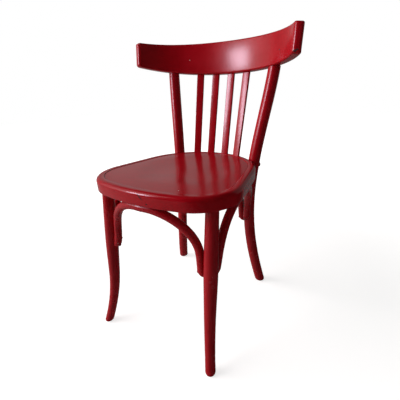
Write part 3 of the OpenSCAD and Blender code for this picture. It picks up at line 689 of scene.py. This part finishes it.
def model_slat(top_x, seat_x, inset, head_turn, foot_turn):
    foot = Vector((seat_x, BACK_CENTRE.y + math.sqrt((BACK_RADIUS - inset)**2 - seat_x**2), SEAT_TOP))
    t = math.copysign(lookup(abs(top_x), crest_share), top_x)
    head = crest_place @ bent(t, CREST_THICK/2, LOW_RISE*t*t)
    along = (head - foot).normalized()
    flat = along.cross(Vector((1, 0, 0))).normalized()
    wide = flat.cross(along)
    length = (head - foot).length + 2*SLAT_LET_IN
    bm = bmesh.new()
    bmesh.ops.create_cube(bm, size=1)
    bmesh.ops.scale(bm, vec=(SLAT_WIDTH, SLAT_THICK, length), verts=bm.verts)
    long_edges = [e for e in bm.edges if abs(e.verts[0].co.z - e.verts[1].co.z) > 1]
    bmesh.ops.bevel(bm, geom=long_edges, offset=SLAT_EDGE, segments=4, profile=0.5, affect="EDGES",
                    material=-1)
    for i in range(1, SLAT_CUTS):
        bmesh.ops.bisect_plane(bm, geom=everything(bm), dist=0.001,
                               plane_co=(0, 0, length*(i/SLAT_CUTS - 0.5)), plane_no=(0, 0, 1))
    for vert in bm.verts:
        turn = foot_turn + (head_turn - foot_turn)*(vert.co.z/length + 0.5)
        vert.co.rotate(Matrix.Rotation(math.radians(-turn), 3, "Z"))
    place = Matrix((wide, flat, along)).transposed().to_4x4()
    place.translation = (foot + head)/2
    bmesh.ops.transform(bm, matrix=place, verts=bm.verts)
    return bm


for node, places in SLATS.items():
    make_piece(model_slat(*places), node, slat_paint)

# %% [markdown]
# ## Arches
# A round rod bent into a flat-topped arch, screwed to two legs and to the ring. It isn't flat: its
# top bows outwards under the ring, so the rod's line is a plane curve plus an outward offset, faired
# as a springy rod fairs itself. A circle is pushed along that line. The ends are rounded over on
# their inner side, and flats are planed where the limbs lie on the legs and the top on the ring.

# %% The arch's middle line
ROD, TOP_BEND, SPLAY, DROP = 10.4, 475, math.radians(6.6), 163.5
FRONT_BEND, SIDE_BEND, BACK_BEND = 121, 111, 85
LIMB_FLAT, LEG_FLAT, TOP_FLAT, LIMB_TIP, END_ROUND, END_THIN = 2.6, 1, 1, 8, 20, 1.6
ROD_SIDES, TIP_CUTS, LIMB_CUTS, BEND_CUTS, TOP_CUTS = 28, 7, 5, 26, 4
ARCH_TOP = TOP_FLAT - ROD
ARCH_LOW = RING_LOW - DROP
SPOKE = Vector((math.cos(SPLAY), 0, math.sin(SPLAY)))


def half_arch(span, bend, outward, short):
    """From a limb's end to the middle of the top, as (place, spoke, share of the rod left)."""
    top_out, corner_out, low_out = outward
    top_centre = Vector((0, ARCH_TOP - TOP_BEND))
    rise = top_centre.y + bend*math.sin(SPLAY) + DROP
    run = span - bend*math.cos(SPLAY) - rise*math.tan(SPLAY)
    shoulder = math.asin(run*math.cos(SPLAY)/(TOP_BEND - bend)) - SPLAY
    centre = top_centre + (TOP_BEND - bend)*Vector((math.sin(shoulder), math.cos(shoulder)))
    corner = centre + bend*ray(SPLAY)
    limb = (corner.y + DROP)/math.cos(SPLAY)
    tip_end = short - LIMB_TIP + END_ROUND
    ups = [tip_end - END_ROUND*math.cos(math.pi/2*i/TIP_CUTS) for i in range(TIP_CUTS + 1)]
    ups += [tip_end + (limb - tip_end)*i/LIMB_CUTS for i in range(1, LIMB_CUTS)]
    line = []
    for up in ups:
        back = min(1, max(0, tip_end - up)/END_ROUND)
        left = (END_THIN + (ROD - END_THIN)*math.sqrt(1 - back**2))/ROD
        out = low_out + (corner_out - low_out)*up/limb
        place = Vector((span - up*math.sin(SPLAY), -out, up*math.cos(SPLAY) - DROP))
        line.append((place, SPOKE, left))
    stop = math.pi/2 - shoulder
    angles = [(SPLAY + (stop - SPLAY)*i/BEND_CUTS, bend, centre) for i in range(BEND_CUTS + 1)]
    angles += [(stop + shoulder*i/TOP_CUTS, TOP_BEND, top_centre) for i in range(1, TOP_CUTS + 1)]
    for angle, radius, middle in angles:
        q = middle + radius*ray(angle)
        out = top_out + (corner_out - top_out)*min(1, q.x/corner.x)**2
        line.append((Vector((q.x, -out, q.y)), Vector((math.cos(angle), 0, math.sin(angle))), 1))
    return line


def faired(line, rounds=30):
    """Evens out the outward offset along the line, with the ends held."""
    outs = [place.y for place, spoke, left in line]
    for _ in range(rounds):
        outs = [outs[0]] + [(a + 2*b + c)/4 for a, b, c in zip(outs, outs[1:], outs[2:])] + [outs[-1]]
    return [(Vector((place.x, y, place.z)), spoke, left)
            for (place, spoke, left), y in zip(line, outs)]


# %% Model the arches
def model_arch(span, bend, halves, place):
    """Halves are (outward offsets, how much shorter the limb is), right one first."""
    right_half, left_half = (half_arch(span, bend, *half) for half in halves)
    flip = Vector((-1, 1, 1))
    line = faired(right_half + [(p*flip, n*flip, left) for p, n, left in left_half[-2::-1]])
    frames = []
    for i, (point, spoke, left) in enumerate(line):
        travel = (line[min(i + 1, len(line) - 1)][0] - line[max(i - 1, 0)][0]).normalized()
        across = (spoke - spoke.dot(travel)*travel).normalized()
        turn = Matrix((across, travel.cross(across), travel)).transposed().to_4x4()
        frames.append(Matrix.Translation(point + across*ROD*(1 - left)) @ turn
                      @ Matrix.Diagonal((left, left, 1, 1)))
    bm = bmesh.new()
    bmesh.ops.create_circle(bm, cap_ends=False, radius=ROD, segments=ROD_SIDES)
    bmesh.ops.transform(bm, matrix=frames[0], verts=bm.verts)
    start = list(bm.edges)
    end = sweep(bm, start, frames, closed=False)
    for loop in (start, end):
        bmesh.ops.edgeloop_fill(bm, edges=loop)
    above_tip = TIP_CUTS + 1
    for side, point in ((1, right_half[above_tip][0]), (-1, left_half[above_tip][0]*flip)):
        outward = SPOKE*Vector((side, 1, 1))
        cut_away(bm, point + outward*(ROD - LIMB_FLAT), outward)
    bmesh.ops.transform(bm, matrix=place, verts=bm.verts)
    cut_away(bm, Vector((0, 0, RING_LOW)), Vector((0, 0, 1)))
    return bm


def at(x, y, turn=0.0):
    return Matrix.Translation((x, y, RING_LOW)) @ Matrix.Rotation(turn, 4, "Z")


leg_at, leg_r = Vector(leg_centre(ARCH_LOW)), leg_radius(ARCH_LOW)
post_at, post_r = Vector(post_centre(ARCH_LOW)), post_radius(ARCH_LOW)
bite = LIMB_FLAT + LEG_FLAT
apart = post_at - leg_at
side_dir = apart.normalized()
SIDE_SHIFT = 0.8
side_mid = (leg_at + post_at)/2 + side_dir*((leg_r - post_r)/2 + SIDE_SHIFT)
side_span = apart.length/2 - (leg_r + post_r)/2 - ROD + bite
# Outward offsets of the top's middle, the bend and the limb's end, then how much shorter the limb is
front_half = ((29.5, -8.2, 2), 0)
back_half = ((28, 2, -5), 0)
side_halves = (((25.2, 0.4, -5), 11), ((25.2, 11.1, 1), -3.8))
front_span = leg_at.x - leg_r - ROD + bite
back_span = post_at.x - post_r - ROD + bite
front = model_arch(front_span, FRONT_BEND, (front_half, front_half), at(0, leg_at.y))
back = model_arch(back_span, BACK_BEND, (back_half, back_half), at(0, -post_at.y))
bmesh.ops.scale(back, vec=(1, -1, 1), verts=back.verts)
bmesh.ops.reverse_faces(back, faces=back.faces)
side = model_arch(side_span, SIDE_BEND, side_halves, at(*side_mid, math.atan2(side_dir.y, side_dir.x)))
make_piece(front, "front_arch", arch_paint)
make_piece(back, "back_arch", arch_paint)
make_piece(mirrored(side), "left_arch", arch_paint)
make_piece(side, "right_arch", arch_paint)

# %% [markdown]
# ## Metal fixings
# Their construction shapes are right already, so they keep them and get finishes only. The screws
# and glides were painted with the chair. The nuts and washers under the seat are zinc plated.

# %% Finishes of the metal fixings
def plated(name, code, roughness):
    """Dull zinc: a metal with a spangled roughness about 2 mm across."""
    material = bpy.data.materials.new(name)
    material.use_nodes = True
    tree = material.node_tree
    shader = tree.nodes["Principled BSDF"]
    place = add(tree, "ShaderNodeTexCoord").outputs["Object"]
    spangle = add(tree, "ShaderNodeTexVoronoi", Vector=place, Scale=1000/2.0)
    rough = add(tree, "ShaderNodeMapRange", Value=spangle.outputs["Distance"], To_Min=roughness*0.8,
                To_Max=roughness*1.3)
    tree.links.new(rough.outputs[0], shader.inputs["Roughness"])
    shader.inputs["Base Color"].default_value = colour(code)
    shader.inputs["Metallic"].default_value = 1
    return material


screw_paint = paint("red_enamel_on_steel_screws", "#8c1820", "#961c26", 0.4, along=(1, 1, 1))
zinc = plated("dull_zinc_plate", "#9c9c98", 0.45)
FIXINGS = {"post_bolts": screw_paint, "arch_leg_screws": screw_paint, "arch_seat_screws": screw_paint,
           "panel_brads": screw_paint, "foot_glides": screw_paint,
           "bolt_washers": zinc, "bolt_nuts": zinc}
for node, material in FIXINGS.items():
    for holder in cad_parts[node].material_slots:
        holder.material = material
    print(node, "gets", material.name)

# %% [markdown]
# ## Floor and background
# The background is plain white, and the floor is a pale sheet that still shows the chair's shadow.
# To the camera it has a glow of its own, which rises to full white away from the chair, so that no
# horizon shows. Paint gets only the light that a pale floor really sends back.

# %% Floor
FLOOR_SIDE, FLOOR_GLOW, SHADOW_REACH = 14, 0.76, (0.8, 2.2)


def seen_directly(tree):
    """1 for what the camera sees, also in glass and in gloss, and 0 for light on matt surfaces."""
    rays = add(tree, "ShaderNodeLightPath")
    seen = rays.outputs["Is Camera Ray"]
    for kind in ("Is Glossy Ray", "Is Transmission Ray"):
        seen = add(tree, "ShaderNodeMath", {"operation": "MAXIMUM"}, _0=seen,
                   _1=rays.outputs[kind]).outputs[0]
    return seen


def pale_floor():
    material = bpy.data.materials.new("matt_pale_floor")
    material.use_nodes = True
    tree = material.node_tree
    shader = tree.nodes["Principled BSDF"]
    place = add(tree, "ShaderNodeTexCoord").outputs["Object"]
    tone = add(tree, "ShaderNodeTexNoise", Vector=place, Scale=1000/400, Detail=2.0)
    mix = add(tree, "ShaderNodeMix", {"data_type": "RGBA"}, _0=tone.outputs["Fac"],
              _6=colour("#cfcdc9"), _7=colour("#d6d4d0"))
    away = add(tree, "ShaderNodeVectorMath", {"operation": "LENGTH"}, _0=place)
    glow = add(tree, "ShaderNodeMapRange", Value=away.outputs["Value"], From_Min=SHADOW_REACH[0],
               From_Max=SHADOW_REACH[1], To_Min=FLOOR_GLOW, To_Max=1.0)
    power = add(tree, "ShaderNodeMath", {"operation": "MULTIPLY"}, _0=seen_directly(tree),
                _1=glow.outputs[0])
    tree.links.new(mix.outputs[2], shader.inputs["Base Color"])
    tree.links.new(power.outputs[0], shader.inputs["Emission Strength"])
    shader.inputs["Emission Color"].default_value = (1, 1, 1, 1)
    shader.inputs["Roughness"].default_value = 0.9
    shader.inputs["Specular IOR Level"].default_value = 0.1
    material.cycles.emission_sampling = "NONE"
    return material


def staged_sheet(name, place, aim, width, height, material):
    """A flat sheet at a place in metres, facing a point."""
    mesh = bpy.data.meshes.new(name)
    bm = bmesh.new()
    bmesh.ops.create_grid(bm, x_segments=4, y_segments=4, size=0.5)
    bmesh.ops.scale(bm, vec=(width, height, 1), verts=bm.verts)
    turn = (Vector(aim) - Vector(place)).to_track_quat("Z", "Y").to_matrix().to_4x4()
    bmesh.ops.transform(bm, matrix=Matrix.Translation(place) @ turn, verts=bm.verts)
    bm.to_mesh(mesh)
    bm.free()
    mesh.materials.append(material)
    sheet = bpy.data.objects.new(name, mesh)
    bpy.context.collection.objects.link(sheet)
    return sheet


floor = staged_sheet("floor", (0, 0, 0), (0, 0, 1), FLOOR_SIDE, FLOOR_SIDE, pale_floor())
floor.visible_glossy = False

# %% [markdown]
# ## World and lamps
# The world is white to the camera, to glass and to metal, and a weak even light to matt paint. The
# paint's highlights tell where the real light stood: a bright window pane low in the front left.
# It is drawn twice, as a small pane that only the gloss sees and as a broad soft light that only
# matt paint gets. The bounce of the ceiling and the right wall is too dull to show in the gloss.

# %% World and lamps
AMBIENT = 0.025
world = bpy.data.worlds.new("studio")
bpy.context.scene.world = world
world.use_nodes = True
tree = world.node_tree
background = tree.nodes["Background"]
level_of_light = add(tree, "ShaderNodeMapRange", Value=seen_directly(tree), To_Min=AMBIENT, To_Max=1.0)
tree.links.new(level_of_light.outputs[0], background.inputs["Strength"])
background.inputs["Color"].default_value = (1, 1, 1, 1)
LAMP_AIM = Vector((0, 0.1, 0.55))


def lamp(name, heading, height, distance, wide, tall, brightness, tint=(1, 1, 1)):
    """A rectangular lamp seen from the chair under these angles in degrees. Heading 0 is behind it."""
    a, e = math.radians(heading), math.radians(height)
    place = LAMP_AIM + distance*Vector((math.sin(a)*math.cos(e), math.cos(a)*math.cos(e), math.sin(e)))
    data = bpy.data.lights.new(name, "AREA")
    data.shape = "RECTANGLE"
    data.size, data.size_y = (2*distance*math.tan(math.radians(size)/2) for size in (wide, tall))
    data.energy = brightness*math.pi*data.size*data.size_y
    data.color = tint
    item = bpy.data.objects.new(name, data)
    turn = (LAMP_AIM - place).to_track_quat("-Z", "Y").to_matrix().to_4x4()
    item.matrix_world = Matrix.Translation(place) @ turn
    item.visible_camera = False
    bpy.context.collection.objects.link(item)
    print("lamp:", name, "watts:", round(data.energy, 1))
    return item


lamp("window_pane", -139, 19, 5.2, 14, 15, 16, (0.94, 0.83, 1)).visible_diffuse = False
lamp("window_light", -121, 22, 5.2, 46, 40, 6.2, (1, 0.97, 1)).visible_glossy = False
lamp("ceiling_bounce", -60, 72, 2.6, 60, 60, 0.4).visible_glossy = False
lamp("wall_bounce", 110, 22, 5.2, 50, 40, 0.27).visible_glossy = False

# %% [markdown]
# ## The dim room
# Gloss mirrors its surroundings, and where they are dark the red stays deep. Seven boards, like the
# flags of a studio, are seen by nothing but the gloss. They are grey behind, to the left and below,
# one beside the window pane glows as a lit wall does, and those to the front, to the right and above
# are black, as the chair's own reflections say. Three of them fade: back, glow and below.

# %% Boards that only the gloss sees
def board_finish(name, direction, start, end):
    """Glows from one level to another along a direction. Both ends are (place in metres, level)."""
    material = bpy.data.materials.new("grey_" + name)
    material.use_nodes = True
    tree = material.node_tree
    tree.nodes.remove(tree.nodes["Principled BSDF"])
    place = add(tree, "ShaderNodeTexCoord").outputs["Object"]
    along = add(tree, "ShaderNodeVectorMath", {"operation": "DOT_PRODUCT"}, _0=place, _1=direction)
    glow = add(tree, "ShaderNodeMapRange", Value=along.outputs["Value"], From_Min=start[0],
               From_Max=end[0], To_Min=start[1], To_Max=end[1])
    light = add(tree, "ShaderNodeEmission", Strength=glow.outputs[0])
    tree.links.new(light.outputs[0], tree.nodes["Material Output"].inputs["Surface"])
    material.cycles.emission_sampling = "NONE"
    return material


EVEN, BLACK, GREY = (0, 0, 0), ((-1, 0), (0, 0.0)), ((-1, 0), (0, 0.28))
# Place, aim, width and height in metres, then the direction of the fade, its start and its end
BOARDS = {"board_back": ((0, 5.6, 2.4), (0, 0, 2.4), 15, 8, (1, 0, 0), (-4.4, 0.38), (-2.0, 0.17)),
          "board_left": ((-7.5, 0, 2.4), (0, 0, 2.4), 16, 8, EVEN, *GREY),
          "board_right": ((7, 0, 2.4), (0, 0, 2.4), 16, 8, EVEN, *BLACK),
          "board_front": ((0, -7.5, 2.4), (0, 0, 2.4), 16, 8, EVEN, *BLACK),
          "board_glow": ((-4.25, -2.16, 3.0), LAMP_AIM, 4.8, 5, (-0.469, 0.883, 0),
                         (-2.0, 1.5), (2.2, 0.25)),
          "board_above": ((0, 0, 6.3), (0, 0, 0), 16, 16, EVEN, *BLACK),
          "board_below": ((0, 0, -1.4), (0, 0, 0), 16, 16, (-0.95, 0.1, 0), (-1.7, 0.0), (3.3, 0.30))}
for name, (place, aim, width, height, direction, start, end) in BOARDS.items():
    board = staged_sheet(name, place, aim, width, height, board_finish(name, direction, start, end))
    board.visible_camera = board.visible_diffuse = False
    board.visible_shadow = board.visible_transmission = False
bpy.context.scene.view_settings.view_transform = "Standard"
